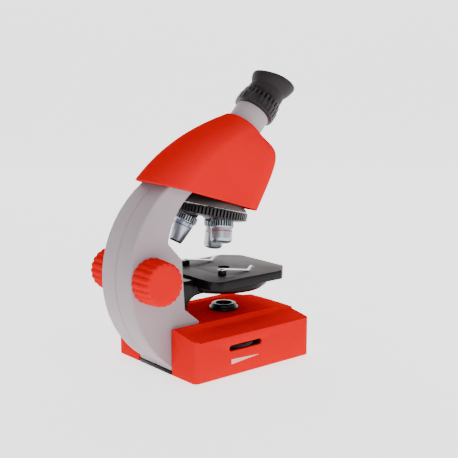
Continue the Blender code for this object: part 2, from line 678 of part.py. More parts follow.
def stage():
    outline = stage_outline()
    plate = part("stage_plate", extruded(outline, stage_top - stage_rim, stage_top), DARK, 0.5)
    bevel(plate, 1.2 * mm, 2, 60)
    cut(plate, extruded(inset(outline, wall), stage_top - stage_rim - 2 * mm, stage_top - stage_skin))
    cut(plate, rod(aperture_radius, stage_top - 9 * mm, stage_top + 2 * mm, 0, optic_y, 32))
    for side in (-1, 1):
        cut(plate, rod(1.8 * mm, stage_top - 9 * mm, stage_top + 2 * mm, side * clip_x, clip_y, 16))

    high = stage_top - stage_rim - gap
    low = high - dish_height
    skin = 2.4 * mm
    dish = [(0, low + skin), (dish_radius - 5 * mm, low + skin),
            (dish_radius - 2.4 * mm, low + skin + 2 * mm), (dish_radius - 2.4 * mm, high),
            (dish_radius, high), (dish_radius, low + 3.2 * mm),
            (dish_radius - 4 * mm, low), (0, low)]
    carrier = part("stage_carrier", turned(dish, 40), BLACK, 0.5, at=(0, dish_y, 0))
    sweep = arc((gusset_y, bracket_low + 2.5 * mm), 13.2 * mm, 0, 90, 8)
    profile = [(sweep[0][0], bracket_low), (carriage_back, bracket_low), (carriage_back, stage_top - 2 * mm),
               (stage_back + gap + 0.2 * mm, stage_top - 2 * mm), (stage_back + gap + 0.2 * mm, high),
               (dish_inside, high), (dish_inside, low)]
    profile += sweep[::-1]
    join(carrier, extruded(profile, -bracket_half, bracket_half, 'X'))
    filter_y = optic_y - filter_offset
    disc_low = low + skin + 0.6 * mm
    cut(carrier, rod(filter_radius + 1 * mm, disc_low - gap, disc_low + filter_thick + gap, 0, filter_y, 36))
    cut(carrier, rod(7 * mm, low - 5 * mm, high + 5 * mm, 0, optic_y, 28))
    cut(carrier, rod(2 * mm + gap, low - 5 * mm, high + 5 * mm, 0, filter_y, 16))
    for side in (-1, 1):     # hollows in the carriage keep its walls even
        low_x, high_x = sorted((side * 2.5 * mm, side * (bracket_half - wall)))
        cut(carrier, box((low_x, arm_front + 5 * mm, bracket_low - 5 * mm),
                         (high_x, carriage_back - wall, stage_top - 5 * mm)))
    disc = part("filter_disc", rod(filter_radius, disc_low, disc_low + filter_thick, 0, 0, 36), BLACK, 0.4,
                at=(0, filter_y, 0))
    for i, radius in enumerate((1.0, 2.0, 3.0, 4.0, 5.0, 5.0)):
        turn = radians(90 + 60 * i)
        hole_x, hole_y = filter_offset * cos(turn), filter_y + filter_offset * sin(turn)
        cut(disc, rod(radius * mm, 0, stage_top, hole_x, hole_y, 14))
    cut(disc, rod(2 * mm + gap, 0, stage_top, 0, filter_y, 16))
    pivot = [(0, high - 0.4 * mm), (3.6 * mm, high - 0.6 * mm), (3.6 * mm, disc_low + filter_thick + gap),
             (2 * mm, disc_low + filter_thick + gap), (2 * mm, low + 0.3 * mm), (0, low + 0.3 * mm)]
    part("filter_pivot", turned(pivot, 20), STEEL, 0.3, 1.0, at=(0, filter_y, 0))
    for name, side in (("left", -1), ("right", 1)):
        clip(name, side)


def ribbon(path, thickness):
    """An outline of even thickness about a path."""
    upper, lower = [], []
    for i, place in enumerate(path):
        before = Vector(path[max(i - 1, 0)])
        after = Vector(path[min(i + 1, len(path) - 1)])
        run = (after - before).normalized()
        across = Vector((-run.y, run.x)) * thickness / 2
        upper.append(tuple(Vector(place) + across))
        lower.append(tuple(Vector(place) - across))
    return upper + lower[::-1]


def clip(name, side):
    """A post that turns in the stage, with the bent spring riveted on top of it."""
    low = stage_top + gap
    top = stage_top + post_height
    pin = 1.5 * mm
    seat = top - 1.3 * mm
    foot = stage_top - stage_skin - 1.6 * mm
    rivet = seat + spring_thick + 2 * gap
    post = [(0, top + 0.5 * mm), (1.6 * mm, top + 0.4 * mm), (2.5 * mm, rivet), (pin, rivet), (pin, seat),
            (post_radius, seat), (post_radius, low), (pin, low), (pin, foot), (0, foot)]
    at = (side * clip_x, clip_y, 0)
    part(f"clip_post_{name}", turned(post, 20), BLACK, 0.4, at=at)
    middle = seat + gap + spring_thick / 2
    path = [(3.4 * mm, middle), (-3.6 * mm, middle), (-30.5 * mm, low + 0.7 * mm),
            (-31.5 * mm, low + 0.8 * mm), (-36 * mm, low + 4.0 * mm)]
    strip = extruded(ribbon(path[::-1], spring_thick), -2.7 * mm, 2.7 * mm, 'X')
    spring = part(f"clip_spring_{name}", strip, STEEL, 0.25, 1.0, at=at)
    cut(spring, rod(pin + gap, stage_top, top + mm, side * clip_x, clip_y, 16))


# ---------------------------------------------------------------- head

def bezier(points, t):
    a, b, c, d = (Vector(p) for p in points)
    return a * (1 - t) ** 3 + b * 3 * t * (1 - t) ** 2 + c * 3 * t * t * (1 - t) + d * t ** 3


def mouth(side):
    """Rear (1) or front (-1) edge of the head's mouth, in (y, z)."""
    centre = Vector((eye_y + mouth_depth * sin(eye_tilt), eye_z - mouth_depth * cos(eye_tilt)))
    return centre + Vector((cos(eye_tilt), sin(eye_tilt))) * mouth_radius * side


def hood_section(t, sides):
    """One ring of the hood: a slot shape at the rim that becomes a circle at the mouth."""
    back_end, front_end = mouth(1), mouth(-1)
    reach = 38 * mm
    back = bezier((rim_back, (rim_back[0] - reach * 0.707, rim_back[1] + reach * 0.707),
                   (back_end.x + reach * 0.966, back_end.y - reach * 0.259), back_end), t)
    front = bezier((rim_front, (rim_front[0] - 28.3 * mm, rim_front[1] + 47 * mm),
                    (front_end.x - 27 * mm, front_end.y - 8.6 * mm), front_end), t)
    middle = (back + front) / 2
    run = front - back
    length = run.length / 2
    run.normalize()
    half = mouth_radius + (rim_half - mouth_radius) * (1 - t ** 2.4)
    half = min(half, length)
    ring = []
    for i in range(sides):
        turn = 2 * pi * i / sides
        along = (length - half) * (1 if cos(turn) > 0 else -1 if cos(turn) < 0 else 0) + half * cos(turn)
        place = middle + run * along
        ring.append((half * sin(turn), place.x, place.y))
    return ring


def head_cover():
    sides, stations = 28, 12
    bm = bmesh.new()
    rings = []
    for k in range(stations + 1):
        rings.append([bm.verts.new(place) for place in hood_section(k / stations, sides)])
    for low, high in zip(rings, rings[1:]):
        for i in range(sides):
            j = (i + 1) % sides
            bm.faces.new((low[i], low[j], high[j], high[i]))
    bmesh.ops.recalc_face_normals(bm, faces=bm.faces)
    outward = sum((f.normal.dot(f.calc_center_median() - Vector((0, -10 * mm, 180 * mm))) for f in bm.faces))
    if outward < 0:
        bmesh.ops.reverse_faces(bm, faces=bm.faces)
    mesh = bpy.data.meshes.new("head_cover")
    bm.to_mesh(mesh)
    bm.free()
    hood = part("head_cover", mesh, RED, 0.38)
    shell = hood.modifiers.new("Solidify", 'SOLIDIFY')
    shell.thickness = hood_wall
    shell.offset = -1
    shell.use_even_offset = True


def head_base():
    """The dark floor inside the rim, with the optics block that stands on it."""
    tilt = atan2(rim_back[1] - rim_front[1], rim_back[0] - rim_front[0])
    half_length = hypot(rim_back[0] - rim_front[0], rim_back[1] - rim_front[1]) / 2
    middle = (0, (rim_back[0] + rim_front[0]) / 2, (rim_back[1] + rim_front[1]) / 2)
    rim = frame_empty("rim_frame", middle, tilt)
    end = rim_half - 3.2 * mm
    outline = arc((0, rim_half - half_length), end, 180, 360, 20)
    outline += arc((0, 19 * mm), 24 * mm, 0, 180, 14)
    floor = part("head_floor", extruded(outline, 8.5 * mm, 10.5 * mm), BLACK, 0.5, parent=rim)
    cut(floor, rod(8 * mm, 120 * mm, 180 * mm, 0, optic_y, 28))

    block_low, block_high = 172 * mm, 196 * mm
    stand = 10.5 * mm / cos(tilt) + gap
    front, rear = optic_y - 15 * mm, optic_y + 15 * mm
    side_view = [(front, rim_height(front, stand)), (rear, rim_height(rear, stand)), (rear, block_high),
                 (front, block_high)]
    block = part("prism_holder", extruded(side_view, -13.5 * mm, 13.5 * mm, 'X'), BLACK, 0.5)
    eye = bpy.data.objects["eye_frame"]
    spigot = tube_radius - tube_wall - gap
    join(block, rod(spigot, -47 * mm, -30 * mm, sides=36), parent=eye)
    cut(block, box((-8 * mm, optic_y - 8 * mm, block_low + 4 * mm),
                   (8 * mm, optic_y + 8 * mm, block_high - 3 * mm)))
    cut(block, rod(6 * mm, block_low - 40 * mm, block_low + 9 * mm, 0, optic_y, 24))
    cut(block, rod(8.5 * mm, -52 * mm, -20 * mm, sides=28), parent=eye)
    wedge = [(-7 * mm, -6.5 * mm), (7 * mm, -6.5 * mm), (7 * mm, -5 * mm), (-1.5 * mm, 6.8 * mm),
             (-3 * mm, 6.8 * mm), (-7 * mm, 5 * mm)]
    part("prism", extruded(wedge, -7 * mm, 7 * mm, 'X'), (0.8, 0.85, 0.9), 0.05,
         at=(0, optic_y, (block_low + block_high) / 2 + 0.4 * mm))


def turret_parts(turret):
    """The fixed dome, the turning ring and its pivot, in the turret's own tilted frame."""
    edge = turret_radius - 1.2 * mm
    dome = [(3.3 * mm, 13.6 * mm), (16 * mm, 13.6 * mm), (18 * mm, 10 * mm), (edge - 10 * mm, 7.6 * mm),
            (edge - 5.5 * mm, 5.0 * mm), (edge - 2 * mm, 2.9 * mm), (edge - 0.4 * mm, 1.4 * mm)]
    dome += [(edge, gap), (turret_radius - 4 * mm, gap), (turret_radius - 6 * mm, 3 * mm),
             (14 * mm, 7 * mm), (8 * mm, 7 * mm), (8 * mm, gap), (3.3 * mm, gap)]
    mount = part("turret_mount", turned(dome, 36), DARK, 0.45, parent=turret)
    cut(mount, rod(6 * mm, 120 * mm, 180 * mm, 0, optic_y, 24))
    low = -turret_thick
    ring = [(3.3 * mm, 0), (9 * mm, 0), (9 * mm, -2.6 * mm), (turret_radius - 3 * mm, -2.6 * mm),
            (turret_radius - 3 * mm, 0), (turret_radius - 0.8 * mm, 0), (turret_radius, -0.8 * mm),
            (turret_radius, low + 1.2 * mm), (turret_radius - 1.2 * mm, low), (3.3 * mm, low)]
    wheel = part("turret_ring", turned(ring, 40), BLACK, 0.45, parent=turret)
    for name, turn, build in objectives:     # spot faces, then bosses
        place, tilt = objective_place(turn)
        seat = rod(collar_radius + gap, -9 * mm, -0.1 * mm, sides=20)
        cut(wheel, seat, at=place, turn=tilt, parent=turret)
        join(wheel, rod(8.8 * mm, 0, 6.4 * mm, sides=20), at=place, turn=tilt, parent=turret)
    for name, turn, build in objectives:
        place, tilt = objective_place(turn)
        cut(wheel, rod(6 * mm, -4 * mm, 16 * mm, sides=18), at=place, turn=tilt, parent=turret)
    pivot = [(0, 9.5 * mm), (3 * mm, 9.5 * mm), (3 * mm, low - gap), (5.5 * mm, low - gap),
             (5.5 * mm, low - 1.6 * mm), (4.6 * mm, low - 2.2 * mm), (0, low - 2.2 * mm)]
    part("turret_pivot", turned(pivot, 24), STEEL, 0.3, 1.0, parent=turret)
    part("detent_spring", box((-9 * mm, 22 * mm, -1.9 * mm), (9 * mm, 26 * mm, -1.3 * mm)), STEEL, 0.3, 1.0,
         parent=turret)


def objective_place(turn):
    """Place and tilt of an objective's shoulder in the turret's frame; turn is measured from the front."""
    swing = radians(turn)
    place = (-objective_circle * sin(swing), -objective_circle * cos(swing), -objective_drop)
    return place, (-turret_tilt, 0, -swing)


def tube_of(outer, bore_low, bore_high, neck=5.2 * mm):
    """An objective: outer (radius, z) points running down from the shoulder, threaded neck above."""
    bottom = outer[-1][1]
    top = 4.2 * mm
    return ([(bore_high, top), (neck, top), (neck, -gap)] + outer
            + [(bore_low, bottom), (bore_low, bottom + 2.4 * mm), (bore_high, bottom + 4 * mm)])


def collar():
    return [(collar_radius - 0.6 * mm, -gap), (collar_radius, -0.9 * mm), (collar_radius, -6.2 * mm),
            (collar_radius - 1.2 * mm, -6.9 * mm)]


def objective_low():
    body = [(9.3 * mm, -7.4 * mm), (9.3 * mm, -16.8 * mm), (8.0 * mm, -19.4 * mm)]
    return tube_of(collar() + body, 5.4 * mm, 4 * mm), 19.4 * mm, 5.1 * mm


def objective_mid():
    body = [(8.2 * mm, -7.4 * mm), (8.8 * mm, -13.5 * mm), (8.8 * mm, -24.8 * mm), (7.4 * mm, -26.8 * mm)]
    return tube_of(collar() + body, 4.2 * mm, 3.6 * mm), 26.8 * mm, 3.9 * mm


def objective_high():
    body = [(9.0 * mm, -7.4 * mm), (8.6 * mm, -12.4 * mm), (5.9 * mm, -26.4 * mm), (5.2 * mm, -27.2 * mm)]
    return tube_of(collar() + body, 2.6 * mm, 3.2 * mm), 27.2 * mm, 2.3 * mm


objectives = [("low", turret_rest, objective_low), ("mid", turret_rest - 120, objective_mid),
              ("high", turret_rest - 240, objective_high)]


def objective_parts(turret):
    for name, turn, build in objectives:
        profile, length, glass = build()
        place, tilt = objective_place(turn)
        part(f"objective_{name}", turned(profile, 26), STEEL, 0.3, 1.0, at=place, turn=tilt, parent=turret)
        lens = [(0, -length + 2.0 * mm), (glass, -length + 2.0 * mm), (glass, -length + 0.8 * mm),
                (glass * 0.6, -length + 0.4 * mm), (0, -length + 0.3 * mm)]
        glass_mesh = turned(lens, 20)
        part(f"objective_lens_{name}", glass_mesh, GLASS, 0.05, at=place, turn=tilt, parent=turret)


# ---------------------------------------------------------------- eyepiece

def eyepiece(eye):
    inner = tube_radius - tube_wall
    tube = [(inner, -gap), (tube_radius, -gap), (tube_radius, -tube_length), (inner, -tube_length)]
    part("eyepiece_tube", turned(tube, 36), GREY, 0.4, parent=eye)
    barrel_out = inner - gap
    barrel = [(barrel_out - 1.6 * mm, grip_length - 1 * mm), (barrel_out, grip_length - 1 * mm),
              (barrel_out, -25 * mm), (barrel_out - 1.6 * mm, -25 * mm)]
    part("eyepiece_barrel", turned(barrel, 40), BLACK, 0.4, parent=eye)
    hole = barrel_out + gap
    step = grip_radius - 1.1 * mm
    grip = [(hole, grip_length), (step - 0.6 * mm, grip_length), (step, grip_length - 0.6 * mm),
            (step, 9.4 * mm), (grip_radius, 8.8 * mm), (grip_radius, 0.9 * mm),
            (grip_radius - 0.9 * mm, 0), (hole, 0)]
    part("eyepiece_grip", turned(grip, 36), BLACK, 0.35, parent=eye)
    low = grip_length + gap
    high = low + cup_length
    neck = 17.2 * mm
    cup = [(hole + 3.6 * mm, high), (hole + 5 * mm, high), (hole + 4.6 * mm, high - 2 * mm),
           (hole + 2.9 * mm, high - 8 * mm), (neck - 0.4 * mm, high - 14 * mm), (neck, low), (hole, low),
           (hole, high - 13 * mm), (hole + 0.9 * mm, high - 8 * mm), (hole + 2.4 * mm, high - 3 * mm)]
    rubber = turned(cup, 32)
    for vertex in rubber.vertices:       # the mouth leans towards the brow
        rise = max(vertex.co.z - low, 0) / cup_length
        vertex.co.z -= rise * (cup_lean * vertex.co.y + cup_drop)
    part("eyecup", rubber, DARK, 0.7, parent=eye)
    glass = barrel_out - 1.6 * mm - gap
    eye_lens = [(0, 14.5 * mm), (6 * mm, 14.1 * mm), (glass, 12.6 * mm), (glass, 11.4 * mm), (0, 11.0 * mm)]
    part("eye_lens", turned(eye_lens, 32), GLASS, 0.05, parent=eye)
    field_lens = [(0, -20.0 * mm), (glass, -20.8 * mm), (glass, -22.4 * mm), (6 * mm, -23.6 * mm),
                  (0, -24.0 * mm)]
    part("field_lens", turned(field_lens, 32), GLASS, 0.05, parent=eye)


def build():
    base_cover()
    base_plate()
    battery_pack()
    screws_and_feet()
    lamp()
    arm()
    focus_drive()
    stage()
    turret = frame_empty("turret_frame", (0, turret_y, turret_z), turret_tilt)
    eye = frame_empty("eye_frame", (0, eye_y, eye_z), eye_tilt)
    bpy.context.view_layer.update()
    head_cover()
    head_base()
    turret_parts(turret)
    objective_parts(turret)
    eyepiece(eye)


build()
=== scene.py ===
import json
from math import atan2, cos, pi, radians, sin

import bpy
from mathutils import Matrix, Vector


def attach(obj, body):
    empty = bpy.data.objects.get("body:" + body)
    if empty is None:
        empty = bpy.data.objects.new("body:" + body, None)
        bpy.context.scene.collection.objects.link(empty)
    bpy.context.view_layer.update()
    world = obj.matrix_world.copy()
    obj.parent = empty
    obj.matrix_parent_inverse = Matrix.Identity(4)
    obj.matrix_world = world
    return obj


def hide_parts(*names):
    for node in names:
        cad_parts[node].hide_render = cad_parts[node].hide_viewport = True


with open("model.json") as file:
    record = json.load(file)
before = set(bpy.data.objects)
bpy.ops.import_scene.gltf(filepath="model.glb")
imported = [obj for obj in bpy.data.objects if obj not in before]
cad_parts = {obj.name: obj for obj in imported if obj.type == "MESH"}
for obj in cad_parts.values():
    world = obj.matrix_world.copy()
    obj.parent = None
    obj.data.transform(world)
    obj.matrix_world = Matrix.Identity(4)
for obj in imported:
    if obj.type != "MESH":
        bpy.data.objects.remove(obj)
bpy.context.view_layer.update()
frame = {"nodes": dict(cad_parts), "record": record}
mm = 0.001

# camera, floor and studio light come first
view = {"place": (-646.18, 509.86, 273.23), "back": (-0.757, 0.6275, 0.1829), "right": (-0.638, -0.770, 0.0),
        "lens": 72.25, "sensor": 36, "far": 50}


def addCamera():
    data = bpy.data.cameras.new("camera")
    data.lens = view["lens"]
    data.sensor_width = view["sensor"]
    data.clip_end = view["far"]
    camera = bpy.data.objects.new("camera", data)
    bpy.context.scene.collection.objects.link(camera)
    back = Vector(view["back"]).normalized()
    right = Vector(view["right"])
    right = (right - back * right.dot(back)).normalized()
    up = back.cross(right)
    turn = Matrix((right, up, back)).transposed().to_4x4()
    camera.matrix_world = Matrix.Translation(Vector(view["place"]) * mm) @ turn
    bpy.context.scene.camera = camera


def deselect():
    if bpy.context.object and bpy.context.object.mode != 'OBJECT':
        bpy.ops.object.mode_set(mode='OBJECT')
    bpy.ops.object.select_all(action='DESELECT')


def pick(piece):
    deselect()
    piece.select_set(True)
    bpy.context.view_layer.objects.active = piece


def settle(piece, place=None):  # puts the piece's place into its mesh
    pick(piece)
    if place is not None:
        piece.matrix_world = place
    bpy.ops.object.transform_apply(location=True, rotation=True, scale=True)


def applyAll(piece):
    pick(piece)
    for step in list(piece.modifiers):
        bpy.ops.object.modifier_apply(modifier=step.name)


def markEdges(piece, angle, seam):  # weights the bent edges that stand away from the middle seam
    mesh = piece.data
    weights = mesh.attributes.new("bevel_weight_edge", 'FLOAT', 'EDGE')
    sides = {}
    for face in mesh.polygons:
        for key in face.edge_keys:
            sides.setdefault(key, []).append(face.normal)
    for edge in mesh.edges:
        normals = sides.get(edge.key, [])
        away = all(abs(mesh.vertices[i].co.x) > seam * mm for i in edge.vertices)
        bent = len(normals) == 2 and normals[0].angle(normals[1], 0) > radians(angle)
        weights.data[edge.index].value = 1.0 if away and bent else 0.0


def bevelEdges(piece, width, segments=3, angle=35, seam=0):  # with a seam, edges near the middle stay sharp
    step = piece.modifiers.new("soft edges", 'BEVEL')
    step.width = width * mm
    step.segments = segments
    step.limit_method = 'ANGLE'
    step.angle_limit = radians(angle)
    if seam:
        markEdges(piece, angle, seam)
        step.limit_method = 'WEIGHT'
    step.use_clamp_overlap = True
    step.miter_outer = 'MITER_ARC'
    applyAll(piece)


def smooth(piece, angle=30):
    pick(piece)
    bpy.ops.object.shade_smooth_by_angle(angle=radians(angle))


def copyNode(node, name):  # a merged copy of a CAD node's mesh, its flat faces whole again
    deselect()
    source = frame["nodes"][node]
    piece = bpy.data.objects.new(name, source.data.copy())
    bpy.context.scene.collection.objects.link(piece)
    piece.data.materials.clear()
    pick(piece)
    bpy.ops.object.mode_set(mode='EDIT')
    bpy.ops.mesh.select_all(action='SELECT')
    bpy.ops.mesh.remove_doubles(threshold=0.00001)
    bpy.ops.mesh.dissolve_limited(angle_limit=radians(0.5))
    bpy.ops.object.mode_set(mode='OBJECT')
    return piece


def turnedPiece(name, profile, sides=96, place=None):  # lathe work: one circle drawn out ring by ring
    deselect()
    radius, height = profile[0]
    bpy.ops.mesh.primitive_circle_add(vertices=sides, radius=radius * mm, location=(0, 0, height * mm))
    piece = bpy.context.object
    piece.name = name
    bpy.ops.object.transform_apply(location=True, rotation=True, scale=True)
    bpy.ops.object.mode_set(mode='EDIT')
    bpy.ops.mesh.select_all(action='SELECT')
    ringed = profile[0] == profile[-1]
    if not ringed:
        bpy.ops.mesh.edge_face_add()
    for nextRadius, nextHeight in profile[1:]:
        rise = (nextHeight - height) * mm
        bpy.ops.mesh.extrude_region_move(TRANSFORM_OT_translate={"value": (0, 0, rise)})
        ratio = nextRadius / radius
        bpy.ops.transform.resize(value=(ratio, ratio, 1), center_override=(0, 0, nextHeight * mm))
        radius, height = nextRadius, nextHeight
    bpy.ops.mesh.select_all(action='SELECT')
    bpy.ops.mesh.remove_doubles(threshold=0.000005)
    bpy.ops.mesh.normals_make_consistent(inside=False)
    bpy.ops.object.mode_set(mode='OBJECT')
    if place is not None:
        settle(piece, place)
    return piece


def wear(piece, body, nodes, material):  # gives a piece its finish, its body and the nodes it stands for
    piece.data.materials.clear()
    piece.data.materials.append(material)
    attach(piece, body)
    if nodes:
        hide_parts(*nodes)
    return piece


# materials
def hexColour(code):  # an sRGB hex code as linear colour
    parts = [int(code[i:i + 2], 16) / 255 for i in (1, 3, 5)]
    return tuple(c / 12.92 if c <= 0.04045 else ((c + 0.055) / 1.055) ** 2.4 for c in parts) + (1,)


def addNode(material, kind, settings=None, links=None):  # links: {input: (node, output)}
    node = material.node_tree.nodes.new(kind)
    for key, value in (settings or {}).items():
        if key in node.inputs:
            node.inputs[key].default_value = value
        else:
            setattr(node, key, value)
    for key, (source, output) in (links or {}).items():
        material.node_tree.links.new(source.outputs[output], node.inputs[key])
    return node


def newMaterial(name, settings):
    material = bpy.data.materials.new(name)
    material.use_nodes = True
    material.node_tree.nodes.clear()
    shader = addNode(material, 'ShaderNodeBsdfPrincipled', settings)
    addNode(material, 'ShaderNodeOutputMaterial', {}, {"Surface": (shader, "BSDF")})
    place = addNode(material, 'ShaderNodeTexCoord')
    return material, shader, place


def mottled(material, place, light, dark, grain, detail=4):  # a colour that drifts a little over the surface
    settings = {"Scale": 1 / (grain * mm), "Detail": detail, "Roughness": 0.55}
    drift = addNode(material, 'ShaderNodeTexNoise', settings, {"Vector": (place, "Object")})
    ramp = addNode(material, 'ShaderNodeValToRGB', {}, {"Fac": (drift, "Fac")})
    ramp.color_ramp.elements[0].position = 0.3
    ramp.color_ramp.elements[1].position = 0.7
    ramp.color_ramp.elements[0].color = hexColour(dark)
    ramp.color_ramp.elements[1].color = hexColour(light)
    return ramp, drift


# grain is the size of the mould's texture, relief its depth and drift the size of colour patches, in millimetres;
# the grain is drawn coarser than real spark erosion, which is too fine to show
def mouldedPlastic(name, light, dark, rough, grain=0.35, relief=0.02, drift=30, shine=0.2):
    material, shader, place = newMaterial(name, {"IOR": 1.5, "Specular IOR Level": shine})
    link = material.node_tree.links.new
    colour, noise = mottled(material, place, light, dark, drift)
    link(colour.outputs["Color"], shader.inputs["Base Color"])
    spread = 0.04
    settings = {"From Min": 0.3, "From Max": 0.7, "To Min": rough - spread, "To Max": rough + spread}
    haze = addNode(material, 'ShaderNodeMapRange', settings, {"Value": (noise, "Fac")})
    link(haze.outputs["Result"], shader.inputs["Roughness"])
    spark = addNode(material, 'ShaderNodeTexNoise', {"Scale": 1 / (grain * mm), "Detail": 2},
                    {"Vector": (place, "Object")})
    bump = addNode(material, 'ShaderNodeBump', {"Strength": 0.35, "Distance": relief * mm},
                   {"Height": (spark, "Fac")})
    link(bump.outputs["Normal"], shader.inputs["Normal"])
    return material


# metal cut on a lathe or rolled: faint tool marks, drawn about a millimetre apart so that they show
def turnedMetal(name, light, dark, rough, relief=0.01):
    material, shader, place = newMaterial(name, {"Metallic": 1.0})
    link = material.node_tree.links.new
    colour, noise = mottled(material, place, light, dark, 6)
    link(colour.outputs["Color"], shader.inputs["Base Color"])
    marks = addNode(material, 'ShaderNodeMapping', {"Scale": (1, 1, 14)}, {"Vector": (place, "Object")})
    fine = addNode(material, 'ShaderNodeTexNoise', {"Scale": 900, "Detail": 3}, {"Vector": (marks, "Vector")})
    spread = 0.06
    settings = {"From Min": 0.3, "From Max": 0.7, "To Min": rough - spread, "To Max": rough + spread}
    haze = addNode(material, 'ShaderNodeMapRange', settings, {"Value": (fine, "Fac")})
    link(haze.outputs["Result"], shader.inputs["Roughness"])
    bump = addNode(material, 'ShaderNodeBump', {"Strength": 0.25, "Distance": relief * mm},
                   {"Height": (fine, "Fac")})
    link(bump.outputs["Normal"], shader.inputs["Normal"])
    return material


def clearGlass(name, tint, rough, ior):  # polished and clear, with hardly any haze
    material, shader, place = newMaterial(name, {"Transmission Weight": 1.0, "IOR": ior})
    colour, noise = mottled(material, place, tint, tint, 8)
    material.node_tree.links.new(colour.outputs["Color"], shader.inputs["Base Color"])
    haze = addNode(material, 'ShaderNodeMapRange', {"To Min": rough, "To Max": rough + 0.02},
                   {"Value": (noise, "Fac")})
    material.node_tree.links.new(haze.outputs["Result"], shader.inputs["Roughness"])
    return material


finishes = {
    # injection moulded ABS from a fine matt mould, which looks soft and deep red; its gloss is left out,
    # because the pale surroundings would turn it pink
    "red_plastic": mouldedPlastic("redAbsMoulded", "#DA0713", "#D60611", 0.5, shine=0.0),
    # the arm's ABS comes from a spark eroded mould, so light spreads evenly over it
    "grey_plastic": mouldedPlastic("greyAbsSpark", "#A89AA0", "#A3959B", 0.5, 0.5, 0.03, shine=0.2),
    # black ABS from a polished mould, with small tight highlights
    "black_plastic": mouldedPlastic("blackAbsMoulded", "#0D0A0B", "#0A0808", 0.25, shine=0.14),
    # black ABS from a grained mould, greyer where light grazes it
    "dark_plastic": mouldedPlastic("darkAbsGrained", "#191616", "#151212", 0.45, 0.6, 0.05, shine=0.26),
    # compression moulded rubber, dull, with a faint bloom
    "rubber": mouldedPlastic("darkRubber", "#241D1F", "#201A1B", 0.6, 0.4, 0.03, shine=0.25),
    "foot_rubber": mouldedPlastic("footRubber", "#1D1C1C", "#171616", 0.75, 0.5, 0.04),
    # unpigmented nylon, milky and waxy
    "nylon": mouldedPlastic("naturalNylon", "#E4E0D2", "#DBD6C6", 0.5),
    # zinc plated steel, slightly cloudy
    "steel": turnedMetal("platedSteel", "#B9BCBE", "#A6A9AB", 0.3),
    # turned and satin finished aluminium, which blurs what it reflects
    "objective_metal": turnedMetal("satinAluminium", "#ADB5BD", "#A0A8B1", 0.36),
    # nickel plated spring strip, brighter than the screws
    "spring_steel": turnedMetal("platedSpringSteel", "#D2D4D6", "#BFC2C4", 0.24),
    # ground and polished crown glass
    "optical_glass": clearGlass("opticalGlass", "#F4F8FF", 0.0, 1.52),
    # moulded acrylic
    "lens_cover": clearGlass("clearAcrylic", "#FFFFFF", 0.02, 1.49),
    # cast epoxy over phosphor, milky and pale yellow
    "led_resin": mouldedPlastic("ledResin", "#FFFDEB", "#F8F5DC", 0.2),
    # glass fibre laminate under solder mask
    "circuit_laminate": mouldedPlastic("greenLaminate", "#1C6B3B", "#175C32", 0.4),
    # phenolic moulding
    "potentiometer": mouldedPlastic("blueMoulding", "#27406E", "#203660", 0.45),
    # shrunk plastic film
    "cell_sleeve": mouldedPlastic("cellSleeve", "#3E7C49", "#356D3F", 0.35),
}

# floor and light: pale paper curved up behind, glowing softly as a light table does
paper = {"half": (6, 5), "shift": 2.8, "lean": -0.4, "tall": 2.6, "curve": 900, "turn": 50.34, "glow": 1.7}


def addStage():
    deselect()
    bpy.ops.mesh.primitive_plane_add(size=2, location=(0, 0, 0))
    floor = bpy.context.object
    floor.name = "floor"
    bpy.ops.transform.resize(value=(*paper["half"], 1))
    bpy.ops.transform.translate(value=(0, paper["shift"], 0))
    bpy.ops.object.transform_apply(location=True, rotation=True, scale=True)
    bpy.ops.object.mode_set(mode='EDIT')
    bpy.ops.mesh.select_all(action='DESELECT')
    bpy.ops.mesh.select_mode(type='EDGE')
    bpy.ops.object.mode_set(mode='OBJECT')
    for edge in floor.data.edges:
        edge.select = all(floor.data.vertices[i].co.y < 0 for i in edge.vertices)
    bpy.ops.object.mode_set(mode='EDIT')
    bpy.ops.mesh.extrude_region_move(TRANSFORM_OT_translate={"value": (0, paper["lean"], paper["tall"])})
    bpy.ops.object.mode_set(mode='OBJECT')
    bevelEdges(floor, paper["curve"], 24)
    settle(floor, Matrix.Rotation(radians(paper["turn"]), 4, 'Z'))
    smooth(floor, 60)
    settings = {"Roughness": 0.9, "Specular IOR Level": 0.1, "Emission Color": (1, 1, 1, 1),
                "Emission Strength": paper["glow"]}
    material, shader, place = newMaterial("palePaper", settings)
    colour, noise = mottled(material, place, "#F7F7F7", "#F5F5F5", 200)
    material.node_tree.links.new(colour.outputs["Color"], shader.inputs["Base Color"])
    floor.data.materials.append(material)


studio = {  # soft boxes: place and size in metres, power in watts
    "key": {"place": (-1.3, 0.9, 0.8), "size": 1.3, "power": 9},
    "fill": {"place": (-1.1, -0.6, 0.9), "size": 1.4, "power": 6},
    "top": {"place": (0.1, -0.1, 1.9), "size": 1.6, "power": 9},
}


aimHeight = 0.12  # metres up the object
roomGlow = 0.35


def addLights():
    for name, lamp in studio.items():
        data = bpy.data.lights.new(name, 'AREA')
        data.shape = 'SQUARE'
        data.size = lamp["size"]
        data.energy = lamp["power"]
        light = bpy.data.objects.new(name, data)
        bpy.context.scene.collection.objects.link(light)
        light.location = lamp["place"]
        aim = Vector((0, 0, aimHeight)) - Vector(lamp["place"])
        light.rotation_euler = aim.to_track_quat('-Z', 'Y').to_euler()
    world = bpy.data.worlds.new("studio")
    bpy.context.scene.world = world
    world.use_nodes = True
    world.node_tree.nodes["Background"].inputs["Color"].default_value = (1, 1, 1, 1)
    world.node_tree.nodes["Background"].inputs["Strength"].default_value = roomGlow


addCamera()
addStage()
addLights()
print("camera, floor and lights are in place")

